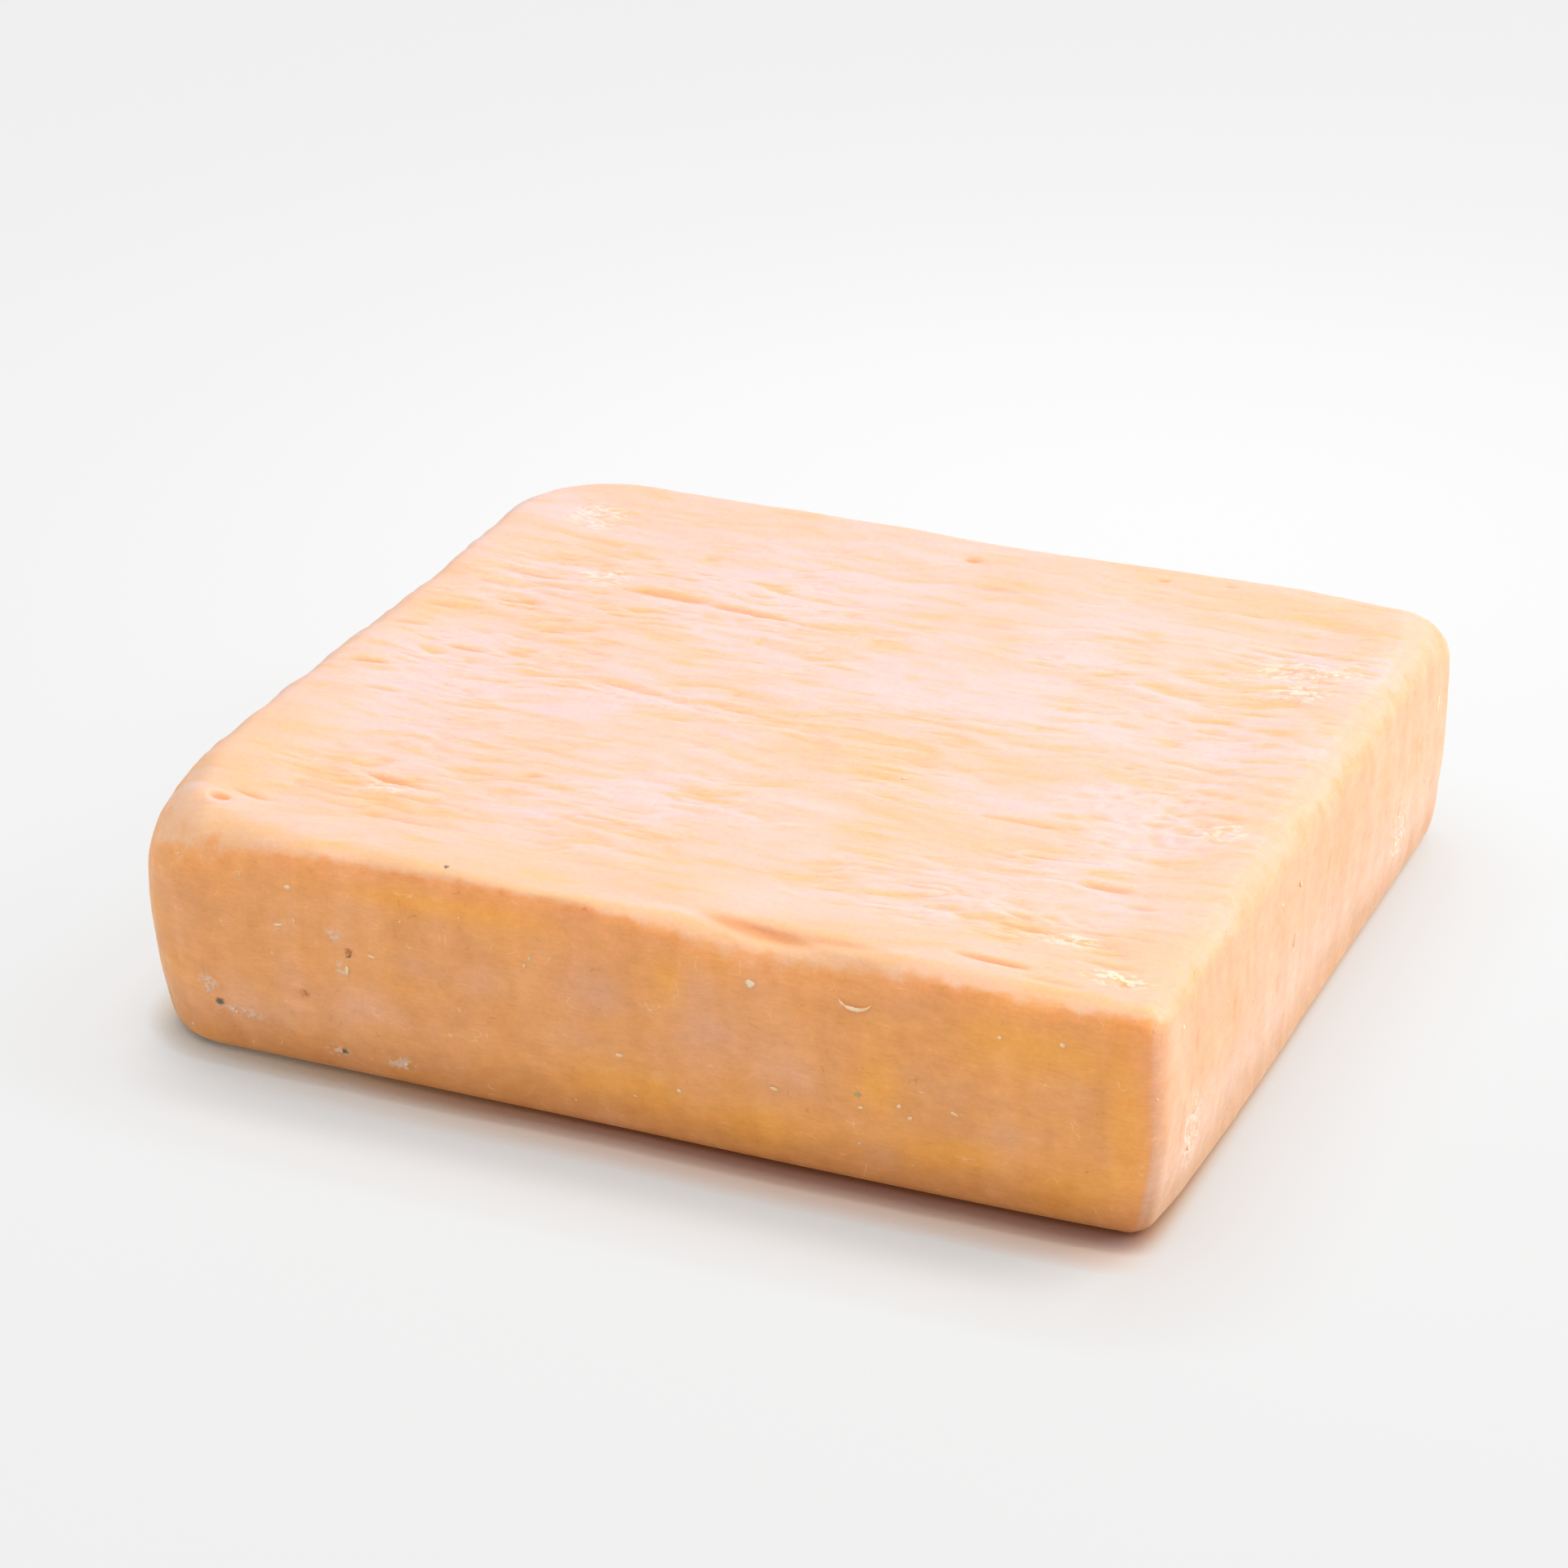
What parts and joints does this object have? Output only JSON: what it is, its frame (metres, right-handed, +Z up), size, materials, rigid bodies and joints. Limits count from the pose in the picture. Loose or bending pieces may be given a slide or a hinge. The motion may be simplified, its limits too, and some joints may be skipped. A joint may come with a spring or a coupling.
{
  "type": "washed rind cheese",
  "caption": "Whole soft square cheese with a washed orange-pink rind, rounded edges and wrinkled top, resting on a broad flat face; food prop for a table or counter.",
  "frame": {"origin": "on the resting face, under the middle of the body", "axes": "+Z up from the resting face to the top; +X along the front wall, which is the longer side; +Y from the front wall to the back wall"},
  "size_m": [0.1979, 0.1847, 0.0466],
  "materials": {
    "washed_rind": "matt, slightly moist washed rind: orange to ochre in the hollows, with a thin pale pink bloom on what stands up and a few spots of grey-blue mould low on the front wall"
  },
  "bodies": {
    "root": {"cheese": "washed_rind"}
  },
  "joints": []
}
